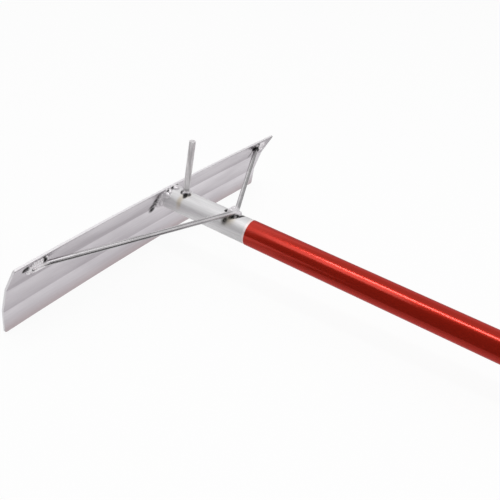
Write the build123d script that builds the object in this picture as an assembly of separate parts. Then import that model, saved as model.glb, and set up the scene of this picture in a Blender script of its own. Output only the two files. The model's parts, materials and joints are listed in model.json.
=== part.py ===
from build123d import *
from math import asin, atan2, cos, degrees, hypot, radians, sin, sqrt
import os

# Concrete placer: a bowed blade of three flat bands on a long tubular handle,
# with a V-shaped rod brace behind the blade and an upright hook rod on top of the tube.
# Sizes are in millimetres, angles in degrees.
#
# The pieces are laid out in the tool's own frame: the tube's axis is Y, from the blade to the free end,
# X runs along the blade, left as the user sees it, and the origin is where the axis meets the face
# of the blade's top band. The finished tool is then laid down on the floor.

# Blade plate
BLADE_LENGTH = 495.3
BLADE_THICKNESS = 3.2
BLADE_BOW = 4.9  # how far the ends stand in front of the middle
TOP_BAND = 36.8
MIDDLE_BAND = 34.2
BOTTOM_BAND = 30.6
TOP_BAND_ANGLE = 26.8  # from square to the handle
UPPER_BEND_ANGLE = 11.4
LOWER_BEND_ANGLE = 12.9
BEND_RADIUS = 5.0
BLADE_CORNER_RADIUS = 3.0
TOP_EDGE_PROUD = 0.15  # blade's back edge above the top of the tube
FACE_GAP = 0.1  # between the blade's face and what is welded to it

# Handle tube and its sleeve
TUBE_DIAMETER = 31.75
TUBE_WALL = 2.0
TUBE_LENGTH = 1500.0
BARE_LENGTH = 130.0
SLEEVE_WALL = 0.4
SLEEVE_CLEARANCE = 0.03

# Plug in the free end of the tube
PLUG_HEAD_THICKNESS = 5.0
PLUG_HEAD_EDGE = 2.0
PLUG_SHANK_LENGTH = 26.0
PLUG_SHANK_CLEARANCE = 0.6
PLUG_SHANK_WALL = 2.2
PLUG_RIB_COUNT = 3
PLUG_RIB_WIDTH = 2.0
PLUG_RIB_CLEARANCE = 0.05

# Hook rod
HOOK_DIAMETER = 7.94
HOOK_HEIGHT = 71.0
HOOK_SETBACK = 30.0  # from the blade, along the tube
HOOK_ANGLE = 2.8  # from square to the tube
HOOK_END_CHAMFER = 0.4

# Brace rod
BRACE_DIAMETER = 6.35
BRACE_REACH = 105.2  # from the blade to the point of the V, along the tube
BRACE_INSET = 42.1  # from the blade's end to the bend of a foot
BRACE_POINT_RADIUS = 14.0
BRACE_SEAT_GAP = 0.05
FOOT_DROP = 13.6  # foot's bend below the blade's top edge
FOOT_LENGTH = 20.0
FOOT_NECK = 7.5
FOOT_WIDTH = 8.0
FOOT_THICKNESS = 5.2
FOOT_CROWN = 2.7  # rise of the foot's rounded top above its widest line

# Weld beads
TUBE_BEAD = 4.5
TUBE_BEAD_SETBACK = 0.3  # below the blade's top edge
HOOK_BEAD = 2.8
INNER_BEAD = 4.6
INNER_BEAD_RISE = 1.4  # middle of the bead above the tube
INNER_BEAD_LENGTH = 9.0
OUTER_BEAD = 3.6
OUTER_BEAD_LENGTH = 10.0
TIP_BEAD = 3.0
SIDE_BEAD = 2.8
SIDE_BEAD_GAP = 1.2  # between a side bead and the tip's bead

TUBE_RADIUS = TUBE_DIAMETER / 2
BORE_RADIUS = TUBE_RADIUS - TUBE_WALL
SLEEVE_BORE = TUBE_RADIUS + SLEEVE_CLEARANCE
GRIP_RADIUS = SLEEVE_BORE + SLEEVE_WALL
HOOK_RADIUS = HOOK_DIAMETER / 2
BRACE_RADIUS = BRACE_DIAMETER / 2
BRACE_HALF_SPREAD = BLADE_LENGTH / 2 - BRACE_INSET
BOW_RADIUS = ((BLADE_LENGTH / 2) ** 2 + BLADE_BOW**2) / (2 * BLADE_BOW)
LEFT, RIGHT = 1, -1


def up_band(lean):
    """Direction up a band of the blade that leans this far from square to the handle."""
    return Vector(0, sin(radians(lean)), cos(radians(lean)))


def out_of_band(lean):
    """Direction out of that band's face, towards the handle."""
    return Vector(0, cos(radians(lean)), -sin(radians(lean)))


TOP_UP = up_band(TOP_BAND_ANGLE)
TOP_OUT = out_of_band(TOP_BAND_ANGLE)
TOP_EDGE = (TUBE_RADIUS + TOP_EDGE_PROUD + TOP_OUT.Z * BLADE_THICKNESS) / TOP_UP.Z  # up the band's face


def bow_turn(angle):
    """Move along the bowed blade: a turn about the upright axis of the bow."""
    return Pos(0, BOW_RADIUS, 0) * Rot(0, 0, angle) * Pos(0, -BOW_RADIUS, 0)


def blade_outline():
    """Corner points of the blade's back and front lines, from the top edge down."""
    leans = [TOP_BAND_ANGLE]
    leans.append(leans[-1] - UPPER_BEND_ANGLE)
    leans.append(leans[-1] - LOWER_BEND_ANGLE)
    outs = [out_of_band(lean) for lean in leans]
    back = [TOP_UP * TOP_EDGE - TOP_OUT * BLADE_THICKNESS]
    for lean, band in zip(leans, (TOP_BAND, MIDDLE_BAND, BOTTOM_BAND)):
        back.append(back[-1] - up_band(lean) * band)
    front = [back[0] + outs[0] * BLADE_THICKNESS]
    for corner, above, below in zip(back[1:-1], outs, outs[1:]):
        front.append(corner + (above + below) * (BLADE_THICKNESS / (1 + above.dot(below))))
    front.append(back[-1] + outs[-1] * BLADE_THICKNESS)
    return back, front


def make_blade():
    back, front = blade_outline()
    section = make_face(
        [
            FilletPolyline(*back, radius=BEND_RADIUS + BLADE_THICKNESS),
            Line(back[-1], front[-1]),
            FilletPolyline(*front, radius=BEND_RADIUS),
            Line(front[0], back[0]),
        ]
    )
    half_turn = degrees(asin(BLADE_LENGTH / BOW_RADIUS))
    bow_axis = Axis((0, BOW_RADIUS, 0), (0, 0, 1))
    plate = bow_turn(-half_turn) * revolve(section, axis=bow_axis, revolution_arc=2 * half_turn)
    plate = split(plate, Plane.YZ.offset(BLADE_LENGTH / 2), keep=Keep.BOTTOM)
    plate = split(plate, Plane.YZ.offset(-BLADE_LENGTH / 2), keep=Keep.TOP)
    corners = []
    for side in (LEFT, RIGHT):
        end = Vector(side * BLADE_LENGTH / 2, BLADE_BOW, 0)
        for edge_middle in ((back[0] + front[0]) / 2, (back[-1] + front[-1]) / 2):
            corners.append(plate.edges().sort_by_distance(edge_middle + end)[0])
    return fillet(corners, BLADE_CORNER_RADIUS)


def keep_on_face(shape, seat):
    """Drop what lies behind the blade's face, so that the shape sits on it."""
    return split(shape, seat.offset(FACE_GAP), keep=Keep.TOP)


def round_along_handle(radius, start, end):
    """A round bar on the tube's axis."""
    square = Plane(origin=(0, start, 0), x_dir=(1, 0, 0), z_dir=(0, 1, 0))
    return extrude(square * Circle(radius), end - start)


def make_tube():
    before_blade = -TUBE_DIAMETER
    tube = round_along_handle(TUBE_RADIUS, before_blade, TUBE_LENGTH)
    tube -= round_along_handle(BORE_RADIUS, before_blade, TUBE_LENGTH)
    return keep_on_face(tube, Plane(origin=(0, 0, 0), x_dir=(1, 0, 0), z_dir=TOP_OUT))


def make_sleeve():
    sleeve = round_along_handle(GRIP_RADIUS, BARE_LENGTH, TUBE_LENGTH)
    return sleeve - round_along_handle(SLEEVE_BORE, BARE_LENGTH, TUBE_LENGTH)


def make_plug():
    """A hollow ribbed shank that grips the bore, under a head as wide as the tube."""
    head_top = TUBE_LENGTH + PLUG_HEAD_THICKNESS
    shank_tip = TUBE_LENGTH - PLUG_SHANK_LENGTH
    shank_radius = BORE_RADIUS - PLUG_SHANK_CLEARANCE
    head = round_along_handle(TUBE_RADIUS, TUBE_LENGTH, head_top)
    head = fillet(head.edges().group_by(Axis.Y)[-1], PLUG_HEAD_EDGE)
    plug = head + round_along_handle(shank_radius, shank_tip, TUBE_LENGTH)
    pitch = PLUG_SHANK_LENGTH / (PLUG_RIB_COUNT + 1)
    for rib in range(PLUG_RIB_COUNT):
        middle = shank_tip + pitch * (rib + 1)
        start = middle - PLUG_RIB_WIDTH / 2
        plug += round_along_handle(BORE_RADIUS - PLUG_RIB_CLEARANCE, start, start + PLUG_RIB_WIDTH)
    return plug - round_along_handle(shank_radius - PLUG_SHANK_WALL, shank_tip, TUBE_LENGTH)


TUBE_BODY = round_along_handle(TUBE_RADIUS, -TUBE_DIAMETER, TUBE_LENGTH)
HOOK_FOOT = Plane(
    origin=(0, HOOK_SETBACK, TUBE_RADIUS),
    x_dir=(1, 0, 0),
    z_dir=(0, sin(radians(HOOK_ANGLE)), cos(radians(HOOK_ANGLE))),
)


def make_hook():
    """A round rod cut square at its top and saddled on the tube."""
    rod = extrude(HOOK_FOOT.offset(-TUBE_RADIUS) * Circle(HOOK_RADIUS), TUBE_RADIUS + HOOK_HEIGHT)
    rod = chamfer(rod.edges().group_by(Axis.Z)[-1], HOOK_END_CHAMFER)
    return rod - TUBE_BODY


def foot_plane(side):
    """Face of the top band under the bend of one brace foot, with Z out of the blade."""
    turn = side * degrees(asin(BRACE_HALF_SPREAD / BOW_RADIUS))
    middle = Plane(origin=TOP_UP * (TOP_EDGE - FOOT_DROP), x_dir=(1, 0, 0), z_dir=TOP_OUT)
    return Plane(bow_turn(turn) * middle.location)


def brace_leg(side):
    """Where a leg of the brace leaves its foot and meets the rounded point, and the point's top."""
    seat = foot_plane(side)
    start = seat.origin + seat.z_dir * BRACE_RADIUS
    top = Vector(0, BRACE_REACH, TUBE_RADIUS + BRACE_RADIUS + BRACE_SEAT_GAP)
    depth = top - Vector(0, start.Y, start.Z)
    half_width = abs(start.X)
    centre_depth = depth.length - BRACE_POINT_RADIUS
    to_centre = hypot(half_width, centre_depth)
    slope = atan2(centre_depth, half_width) + asin(BRACE_POINT_RADIUS / to_centre)
    run = sqrt(to_centre**2 - BRACE_POINT_RADIUS**2)
    end = start + Vector(-side * cos(slope) * run, 0, 0) + depth.normalized() * (sin(slope) * run)
    return start, end, top


def foot_frame(side):
    """The foot's seat on the blade, with X from its bend to its tip and Z out of the blade."""
    seat = foot_plane(side)
    return Plane(origin=seat.origin, x_dir=seat.x_dir * side, z_dir=seat.z_dir)


def make_foot(side):
    """The flattened end of the rod, on the face of the blade."""
    seat = foot_frame(side)
    start, end, _ = brace_leg(side)
    widest = FOOT_THICKNESS - FOOT_CROWN
    neck_centre = seat.origin + seat.x_dir * FOOT_NECK + seat.z_dir * widest
    neck = Plane(origin=neck_centre, x_dir=seat.y_dir, z_dir=seat.x_dir)
    round_end = Plane(origin=start, x_dir=seat.y_dir, z_dir=start - end) * Circle(BRACE_RADIUS)
    flat = neck * Ellipse(FOOT_WIDTH / 2, FOOT_CROWN)
    foot = loft([round_end, flat]) + extrude(flat, FOOT_LENGTH - FOOT_NECK)
    return keep_on_face(foot, seat)


def make_brace():
    """One rod: a foot, a leg, the rounded point over the tube, a leg and a foot."""
    left_start, left_end, top = brace_leg(LEFT)
    right_start, right_end, _ = brace_leg(RIGHT)
    path = Wire(
        [
            Line(left_start, left_end),
            ThreePointArc(left_end, top, right_end),
            Line(right_end, right_start),
        ]
    )
    rod = sweep(Plane(origin=left_start, z_dir=left_end - left_start) * Circle(BRACE_RADIUS), path=path)
    return rod + make_foot(LEFT) + make_foot(RIGHT)


def bead_between(start, end, radius):
    """A straight run of weld with round ends."""
    run = extrude(Plane(origin=start, z_dir=end - start) * Circle(radius), (end - start).length)
    return run + Pos(start) * Sphere(radius) + Pos(end) * Sphere(radius)


def make_tube_weld(blade):
    """A bead round the mitred end of the tube, open at the blade's top edge."""
    face = Plane(origin=(0, 0, 0), x_dir=(1, 0, 0), z_dir=TOP_OUT)
    rim = (face * Ellipse(TUBE_RADIUS, TUBE_RADIUS / TOP_UP.Z)).edge()
    bead = sweep(Plane(origin=rim @ 0, z_dir=rim % 0) * Circle(TUBE_BEAD), path=rim)
    top_edge = Plane(origin=TOP_UP * (TOP_EDGE - TUBE_BEAD_SETBACK), z_dir=TOP_UP)
    bead = split(bead, top_edge, keep=Keep.BOTTOM)
    return keep_on_face(bead, face) - TUBE_BODY - blade


def make_hook_weld(hook):
    """A ring of weld round the foot of the hook rod."""
    return HOOK_FOOT * Torus(HOOK_RADIUS, HOOK_BEAD) - TUBE_BODY - hook


def make_inner_weld(brace):
    """A bead on the tube, in the hollow of the brace's point."""
    _, _, top = brace_leg(LEFT)
    middle = Vector(0, top.Y - BRACE_RADIUS - INNER_BEAD_RISE, TUBE_RADIUS + INNER_BEAD_RISE)
    half = Vector(INNER_BEAD_LENGTH / 2, 0, 0)
    return bead_between(middle - half, middle + half, INNER_BEAD) - TUBE_BODY - brace


def make_outer_weld(brace, inner_weld):
    """A bead on the tube, along the outside of the brace's point."""
    _, _, top = brace_leg(LEFT)
    middle = Vector(0, top.Y + BRACE_RADIUS, TUBE_RADIUS)
    half = Vector(OUTER_BEAD_LENGTH / 2, 0, 0)
    bead = bead_between(middle - half, middle + half, OUTER_BEAD)
    return bead - TUBE_BODY - brace - inner_weld


def make_tip_weld(side, brace):
    """A bead across the tip of a foot."""
    seat = foot_frame(side)
    tip = seat.origin + seat.x_dir * FOOT_LENGTH
    half = seat.y_dir * (FOOT_WIDTH / 2 - TIP_BEAD / 2)
    return keep_on_face(bead_between(tip - half, tip + half, TIP_BEAD), seat) - brace


def make_side_weld(side, edge, brace):
    """A bead along a side of a foot, from its bend: edge is 1 for the upper side and -1 for the lower."""
    seat = foot_frame(side)
    start = seat.origin - seat.y_dir * (side * edge * FOOT_WIDTH / 2)
    run = FOOT_LENGTH - TIP_BEAD - SIDE_BEAD_GAP - SIDE_BEAD
    return keep_on_face(bead_between(start, start + seat.x_dir * run, SIDE_BEAD), seat) - brace


def lay_on_floor(pieces):
    """Lay the tool down on the blade's lower corners and the sleeve's rim, centred on its footprint."""
    _, front = blade_outline()
    blade_foot = front[-1] + Vector(0, BLADE_BOW, 0)
    sleeve_foot = Vector(0, TUBE_LENGTH, -GRIP_RADIUS)
    reach = sleeve_foot - blade_foot
    floor_slope = atan2(reach.Z, reach.Y)
    level = Rot(-degrees(floor_slope), 0, 0)
    laid = {name: level * piece for name, piece in pieces.items()}
    box = Compound(list(laid.values())).bounding_box()
    to_origin = Pos(-box.center().X, -box.center().Y, -box.min.Z)
    return {name: to_origin * piece for name, piece in laid.items()}


def main():
    blade = make_blade()
    hook = make_hook()
    brace = make_brace()
    inner_weld = make_inner_weld(brace)
    pieces = {
        "blade": blade,
        "handle_tube": make_tube(),
        "handle_sleeve": make_sleeve(),
        "end_plug": make_plug(),
        "hook_rod": hook,
        "brace_rod": brace,
        "tube_weld": make_tube_weld(blade),
        "hook_weld": make_hook_weld(hook),
        "brace_inner_weld": inner_weld,
        "brace_outer_weld": make_outer_weld(brace, inner_weld),
    }
    for side, side_name in ((LEFT, "left"), (RIGHT, "right")):
        pieces[f"{side_name}_foot_tip_weld"] = make_tip_weld(side, brace)
        for edge, edge_name in ((1, "upper"), (-1, "lower")):
            pieces[f"{side_name}_foot_{edge_name}_weld"] = make_side_weld(side, edge, brace)
    os.makedirs("parts", exist_ok=True)
    for name, piece in lay_on_floor(pieces).items():
        export_step(piece, f"parts/{name}.step")


main()
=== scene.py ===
import json
from math import acos, asin, atan2, cos, hypot, pi, radians, sin, sqrt, tan

import bmesh
import bpy
from bpy.props import FloatProperty, FloatVectorProperty, PointerProperty
from mathutils import Matrix, Vector


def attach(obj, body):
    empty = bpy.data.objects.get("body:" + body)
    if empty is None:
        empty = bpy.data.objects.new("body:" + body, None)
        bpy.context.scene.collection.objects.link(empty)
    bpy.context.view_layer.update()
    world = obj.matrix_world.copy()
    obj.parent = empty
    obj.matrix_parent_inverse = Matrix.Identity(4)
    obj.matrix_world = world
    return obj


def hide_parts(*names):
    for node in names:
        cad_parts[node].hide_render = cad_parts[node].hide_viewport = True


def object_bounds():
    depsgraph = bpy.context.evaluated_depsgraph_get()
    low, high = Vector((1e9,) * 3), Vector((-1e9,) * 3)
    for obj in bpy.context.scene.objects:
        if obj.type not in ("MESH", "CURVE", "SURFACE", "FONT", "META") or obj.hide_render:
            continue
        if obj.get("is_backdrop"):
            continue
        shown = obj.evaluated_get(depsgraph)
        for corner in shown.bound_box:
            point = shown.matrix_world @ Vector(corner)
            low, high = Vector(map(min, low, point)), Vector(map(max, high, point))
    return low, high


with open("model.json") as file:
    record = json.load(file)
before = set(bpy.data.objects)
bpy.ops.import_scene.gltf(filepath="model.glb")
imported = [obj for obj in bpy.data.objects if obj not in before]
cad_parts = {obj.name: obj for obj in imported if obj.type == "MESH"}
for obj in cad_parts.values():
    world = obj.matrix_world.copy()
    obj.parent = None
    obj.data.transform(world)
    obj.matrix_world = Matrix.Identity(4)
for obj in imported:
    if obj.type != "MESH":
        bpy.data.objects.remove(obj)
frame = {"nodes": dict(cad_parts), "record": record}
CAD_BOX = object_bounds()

bl_info = {
    "name": "Concrete placer",
    "version": (1, 0, 0),
    "blender": (4, 5, 0),
    "location": "3D View > Sidebar > Placer",
    "description": "Blade, brace, weld beads, finishes and studio of a long-handled concrete placer",
    "category": "Object",
}

BODY = "root"
GRIP = next(mount for mount in frame["record"]["mounts"] if mount["name"] == "grip")
LEFT, RIGHT = 1, -1
ALONG_BLADE = Vector((1, 0, 0))
CUTTER = 0.2  # side of the temporary blocks, in metres
TUBE_SIDES = 192  # of the temporary bar that beads are cut to
DROP_SEGMENTS, DROP_RINGS = 20, 12
DROP_SWELL, DROP_BEAT = 0.09, 2.3  # how much the drops of a bead differ in size, and how fast that changes
LUMP_SWELL, LUMP_BEAT = 0.3, 2.1  # the same for the lumps of its second pass
LUMP_SHAPE = (0.9, 1.3, 0.7)  # share of the pitch round the tube, and of the half size along and out of it
LUMPS_START, LUMPS_END = radians(-75), radians(115)  # round the tube from its top to the left
BLADE_CREASE, ROD_CREASE, BEAD_CREASE = radians(40), radians(50), radians(60)

# Rings of a hammered foot: share of its length, and of its half width, half height and rise of its middle
FOOT_RINGS = (
    (0.125, 0.82, 1.17, 1.25),
    (0.25, 0.92, 1.08, 1.14),
    (0.40, 1.00, 1.00, 1.04),
    (0.65, 1.00, 1.00, 1.00),
    (0.90, 0.96, 0.96, 1.00),
    (0.98, 0.80, 0.80, 0.95),
    (1.00, 0.45, 0.48, 0.90),
)

# Grain of the finishes, as noise per metre, along X, Y and Z where it is drawn out
ROLLING_LINES = (9, 900, 900)
SHEET_PATCHES = (10, 26, 26)
DRAWING_LINES = (500, 7, 500)
SAWING_LINES = (420, 420, 14)
SLEEVE_WAVES = (60, 12, 60)
ROD_GRAIN, ROD_CLOUD = 900.0, 60.0
HOOK_CLOUD = 70.0
BEAD_GRAIN = 700.0
PLUG_GRAIN, PLUG_CLOUD = 1600.0, 90.0
NOISE_SPAN = (0.3, 0.7)  # most of a noise lies in this span
CLOUD_SPAN = (0.35, 0.7)
SAW_SPAN = (0.42, 0.62)

# How far the grain shows the second colour of a finish
DRAWING_SHADE, SAWING_SHADE = 0.5, 0.7
HOOK_CLOUD_SHADE, PLUG_CLOUD_SHADE, SLEEVE_WAVE_SHADE = 0.3, 0.3, 0.25

# Depth of the grain in metres
LINE_DEPTH = 0.00003
ROD_DEPTH = 0.000006
BEAD_DEPTH = 0.00004
SLEEVE_DEPTH = 0.00001
PLUG_DEPTH = 0.00008

# Least and most roughness of each finish, and what lines, hammering, filing, and soot and painted shade
# make of it
SHEET_ROUGHNESS = TUBE_ROUGHNESS = (0.36, 0.46)
ROD_ROUGHNESS = (0.23, 0.27)
HOOK_ROUGHNESS = (0.38, 0.50)
BEAD_ROUGHNESS = (0.30, 0.44)
SLEEVE_ROUGHNESS = (0.22, 0.26)
PLUG_ROUGHNESS = (0.48, 0.62)
LINE_ROUGHNESS, BEATEN_ROUGHNESS = 0.05, 0.08
FILED_ROUGHNESS, SOOT_AND_SHADE_ROUGHNESS = 0.6, 0.85

# How far a finish shines as metal, where it isn't all metal
TUBE_METAL, HOOK_METAL, BEAD_METAL = 0.5, 0.15, 0.3
FILED_METAL, BEATEN_METAL, SOOT_AND_SHADE_METAL = 0.3, 0.45, 0.1

# Painted shade on each band of the blade, darker towards its lower bend, from the top band down: share of
# the band's height and amount
BAND_PAINTED_SHADE = (
    ((0.0, 0.45), (0.35, 0.53), (0.65, 0.64), (0.90, 0.92), (0.985, 0.98)),
    ((0.015, 0.14), (0.15, 0.16), (0.33, 0.33), (0.65, 0.55), (0.95, 0.80), (0.985, 0.82)),
    ((0.015, 0.16), (0.20, 0.20), (0.42, 0.45), (0.70, 0.60), (0.90, 0.82), (1.0, 1.0)),
)
PATCH_WEAR, LINE_WEAR = 0.12, 0.06  # what patches and rolling lines add to that or take off
LEFT_DARKENING = 0.26  # darker towards the blade's left end: what is added there, and how far along that starts and is full
LEFT_SPAN = (-0.05, 0.24)
LEFT_TOP_SHARE = -0.7  # share of it at the top edge, which is brighter there
RUST_HEIGHT, RUST_SHARE = 0.020, 0.8
FILED_TURN = (0.8, 0.5)  # how square to the sheet its filed edges are, and the side that takes soot and painted shade
SOOT_AND_SHADE_TURN = (-0.5, -0.2)

# Torch soot on the blade, and painted shadow in the crescent beside the tube's bead: place along it, drop
# from its top edge, half sizes, share that is core, darkness
BLADE_SOOT_AND_SHADE = (
    (0.2316, 0.0090, (0.0048, 0.0064, 0.004), 0.60, 1.0),
    (0.2088, 0.0062, (0.0040, 0.0056, 0.007), 0.50, 1.0),
    (-0.2065, 0.0120, (0.0056, 0.0100, 0.014), 0.55, 1.0),
    (-0.2058, 0.0270, (0.0026, 0.0120, 0.006), 0.15, 1.0),
    (-0.2085, 0.0040, (0.0050, 0.0040, 0.006), 0.00, 1.0),
    # soot and painted shadow: the dark crescent beside the tube's bead
    (0.0228, 0.0080, (0.0048, 0.0090, 0.006), 0.15, 0.75),
    (0.0225, 0.0180, (0.0054, 0.0095, 0.006), 0.28, 0.82),
    (0.0212, 0.0290, (0.0080, 0.0105, 0.006), 0.28, 0.88),
    (0.0175, 0.0385, (0.0080, 0.0075, 0.006), 0.22, 1.0),
)

# Torch soot on the tube, and painted shade in its crevices by the welds: place along it, degrees from its
# top to the left, degrees aslant, lift off it, and half sizes, core and darkness as on the blade
TUBE_SOOT_AND_SHADE = (
    # painted shade in the crevices between the weld's lumps and the blade's top edge
    (0.0100, 39, 0, 0, (0.0032, 0.0022, 0.005), 0.40, 1.0),
    (0.0118, 16, 0, 0, (0.0044, 0.0024, 0.005), 0.40, 1.0),
    (0.0112, -17, 0, 0, (0.0040, 0.0024, 0.005), 0.40, 1.0),
    (0.0275, 14, 0, 0, (0.0040, 0.0036, 0.005), 0.40, 1.0),
    (0.0340, 24, 0, 0, (0.0060, 0.0045, 0.005), 0.45, 1.0),
    (0.0375, 10, 0, 0, (0.0045, 0.0030, 0.005), 0.30, 1.0),
    (0.0300, 0, 0, 0.0045, (0.0070, 0.0070, 0.0038), 0.30, 0.5),
    (0.0938, 1, 0, 0, (0.0050, 0.0044, 0.005), 0.55, 1.0),
    # soot and painted shadow down the tube's side below the left leg
    (0.0990, 52, 0, 0, (0.0090, 0.0062, 0.005), 0.10, 1.0),
    # painted shadow in the crevice under the brace's point
    (0.1080, 20, 127, 0, (0.0110, 0.0036, 0.006), 0.45, 1.0),
    (0.1142, -3, 159, 0, (0.0080, 0.0030, 0.005), 0.40, 1.0),
)
# noise that mottles the sooty marks and the painted shade
MOTTLE_NOISE, MOTTLE_SPAN, LEAST_MOTTLE = 420.0, (0.25, 0.5), 0.6
HOLLOW_SPAN, HOLLOW_SMOKE = (0.49, 0.40), 0.2  # how hollow a bead is where smoke settles, and how much

# Straw tint on the tube: place along it, degrees from its top to the left, half sizes
TUBE_TINTS = (
    (0.0310, 58, (0.0180, 0.0060, 0.010)),
    (0.0330, 15, (0.0090, 0.0100, 0.010)),
    (0.1030, 35, (0.0150, 0.0130, 0.010)),
)
TINT_CORE, TINT_STRENGTH = 0.05, 0.55
LIP_HIGHLIGHT_START, LIP_HIGHLIGHT_FULL = 0.0032, 0.0018  # painted highlight: a pale line on the tube just before the sleeve

# Beaten, bright patches of the brace, in the lighter painted copy of the weld metal: half sizes and core
FOOT_PATCH, FOOT_PATCH_MIDDLE = ((0.0125, 0.009, 0.008), 0.7), 0.0105
POINT_PATCH = ((0.0110, 0.0090, 0.008), 0.3)

# How far the edges of marks are pushed about, and the noise that does it
SOOT_AND_SHADE_EDGE, TINT_EDGE, PATCH_EDGE = (0.0022, 260.0), (0.006, 160.0), (0.003, 300.0)

WHITE = (1, 1, 1, 1)
SEEN_RAYS = ("Is Camera Ray", "Is Glossy Ray", "Is Transmission Ray")
SENSOR_WIDTH, CLIP_START = 36, 0.01

# Cards that only show in gloss: name, middle, turn about Y, sides, shade, and how the shade changes, if it
# does: along which axis, between which places, and to which shade
CARDS = (
    ("dark_card", (0.72, 0.01, 0.95), -pi / 2, (1.9, 1.98), 0.03, None),
    ("near_card", (0.31, 0.08, 0.002), 0, (0.82, 1.36), 0.65, ("X", 0.0, 0.14, 0.04)),
    ("leg_card", (0.31, -0.64, 0.002), 0, (0.82, 0.08), 0.65, ("X", 0.02, 0.16, 0.38)),
    ("leg_reflector", (0.22, -0.60, 0.5), 0, (0.26, 0.30), 1.75, None),
    ("far_card", (-0.87, -0.7, 0.002), 0, (1.06, 0.8), 0.35, None),
    ("side_card", (-1.4, 0.075, 0.6), pi / 2, (1.2, 2.85), 0.55, ("Z", 0.2, 0.9, 0.6)),
    ("ceiling_card", (-1.4, -0.6, 2.2), 0, (4.3, 1.4), 0.44, None),
)

# Lamps: name, the setting that holds its power, place, aim, sides, whether it shows in gloss
LAMPS = (
    ("softbox", "key_power", (-0.7, -0.5, 2.3), (0, -0.5, 0.08), (2.6, 2.8), False),
    ("strip", "strip_power", (0.17, -0.475, 1.4), (0.17, -0.475, 0.05), (0.15, 0.75), True),
)


def setting(kind, **fixed):
    """A maker of one kind of setting, from a name, a description and a default value."""

    def make(name, description, default):
        return kind(name=name, description=description, default=default, **fixed)

    return make


size = setting(FloatProperty, min=0, precision=5, unit="LENGTH")
angle = setting(FloatProperty, subtype="ANGLE", unit="ROTATION")
share = setting(FloatProperty, min=0, max=1, subtype="FACTOR")
power = setting(FloatProperty, unit="POWER")
lens = setting(FloatProperty, min=1)
place = setting(FloatVectorProperty, subtype="TRANSLATION", precision=5)
solid_colour = setting(FloatVectorProperty, size=4, min=0, max=1, subtype="COLOR")


def colour(name, description, default):
    """A colour setting, from red, green and blue."""
    return solid_colour(name, description, (*default, 1))


class PlacerBlade(bpy.types.PropertyGroup):
    """Sizes of the pressed plate."""

    length: size("Length", "From end to end", 0.4953)
    thickness: size("Thickness", "Of the sheet", 0.0032)
    bow: size("Bow", "How far the ends stand in front of the middle", 0.0049)
    top_band: size("Top band", "Height of the band that carries the tube", 0.0368)
    middle_band: size("Middle band", "Height between the bends", 0.0342)
    bottom_band: size("Bottom band", "Height below the lower bend", 0.0306)
    top_angle: angle("Top angle", "Top band from square to the handle", radians(26.8))
    upper_bend: angle("Upper bend", "Turn of the upper bend", radians(11.4))
    lower_bend: angle("Lower bend", "Turn of the lower bend", radians(12.9))
    bend_radius: size("Bend radius", "Inside the bends", 0.005)
    corner_radius: size("Corner radius", "Of the plate's four corners", 0.003)
    edge_round: size("Edge round", "Rounding of the sheet's edges", 0.0009)
    top_edge_proud: size("Edge above tube", "Back edge above the top of the tube", 0.00015)
    face_gap: size("Face gap", "Between the face and what is welded to it", 0.0001)
    wave: size("Wave", "Unevenness that pressing leaves in the sheet", 0.00025)
    wave_size: size("Wave size", "From one hollow to the next", 0.07)


class PlacerTube(bpy.types.PropertyGroup):
    """Sizes of the handle tube and of the hook rod on it."""

    diameter: size("Diameter", "Outside the tube", 0.03175)
    bare_length: size("Bare length", "From the blade to the sleeve", 0.13)
    hook_diameter: size("Hook diameter", "Of the upright rod", 0.00794)
    hook_setback: size("Hook setback", "From the blade along the tube", 0.03)


class PlacerBrace(bpy.types.PropertyGroup):
    """Sizes of the bent brace rod and its hammered feet."""

    diameter: size("Diameter", "Of the rod", 0.00635)
    reach: size("Reach", "From the blade to the point of the V", 0.1052)
    inset: size("Inset", "From the blade's end to a foot's bend", 0.0421)
    point_radius: size("Point radius", "Of the bend at the point", 0.014)
    seat_gap: size("Seat gap", "Between the point and the tube", 0.00005)
    foot_drop: size("Foot drop", "Foot below the blade's top edge", 0.0136)
    foot_length: size("Foot length", "From the bend to the tip", 0.02)
    foot_width: size("Foot width", "Across the hammered foot", 0.008)
    foot_half_height: size("Foot half height", "Of the hammered foot's rounded section", 0.0027)
    foot_rise: size("Foot rise", "Middle of that section above the blade", 0.0025)
    dent: size("Dent", "Depth that the hammer leaves in the feet", 0.0007)
    dent_size: size("Dent size", "From one dent to the next", 0.0035)
    wave: size("Wave", "Unevenness of the rod", 0.00012)
    wave_size: size("Wave size", "From one hollow to the next", 0.012)


class PlacerWelds(bpy.types.PropertyGroup):
    """Sizes of the weld beads."""

    tube_bead: size("Tube bead", "Radius of the bead round the tube's end", 0.0045)
    hook_bead: size("Hook bead", "Radius of the bead round the hook rod", 0.0028)
    inner_bead: size("Inner bead", "Radius of the bead in the hollow of the V", 0.0042)
    inner_rise: size("Inner rise", "Middle of that bead above the tube", 0.0034)
    inner_setback: size("Inner setback", "Middle of that bead from the rod", 0.0008)
    inner_length: size("Inner length", "Of that bead", 0.009)
    outer_bead: size("Outer bead", "Radius of the bead outside the V", 0.0033)
    outer_length: size("Outer length", "Of that bead", 0.010)
    tip_bead: size("Tip bead", "Radius of the bead across a foot's tip", 0.003)
    side_bead: size("Side bead", "Radius of the beads along a foot's sides", 0.0028)
    upper_spread: size("Upper spread", "How far the upper of those beads runs up the blade", 0.0070)
    edge_setback: size("Edge setback", "Ends of the tube's bead below the blade's top edge", 0.0003)
    lump: size("Lump", "Half size of the lumps of the bead's second pass, on the tube", 0.0031)
    lump_pitch: size("Lump pitch", "From one of those lumps to the next", 0.0052)
    lump_setback: size("Lump setback", "Of those lumps from the tube's end", 0.0042)
    ripple: size("Ripple", "From one drop of a bead to the next", 0.0021)
    tube_ripple: size("Tube ripple", "From one drop of the tube's bead to the next", 0.0040)
    skin: size("Skin", "Fineness of the fused beads", 0.00033)


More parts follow.
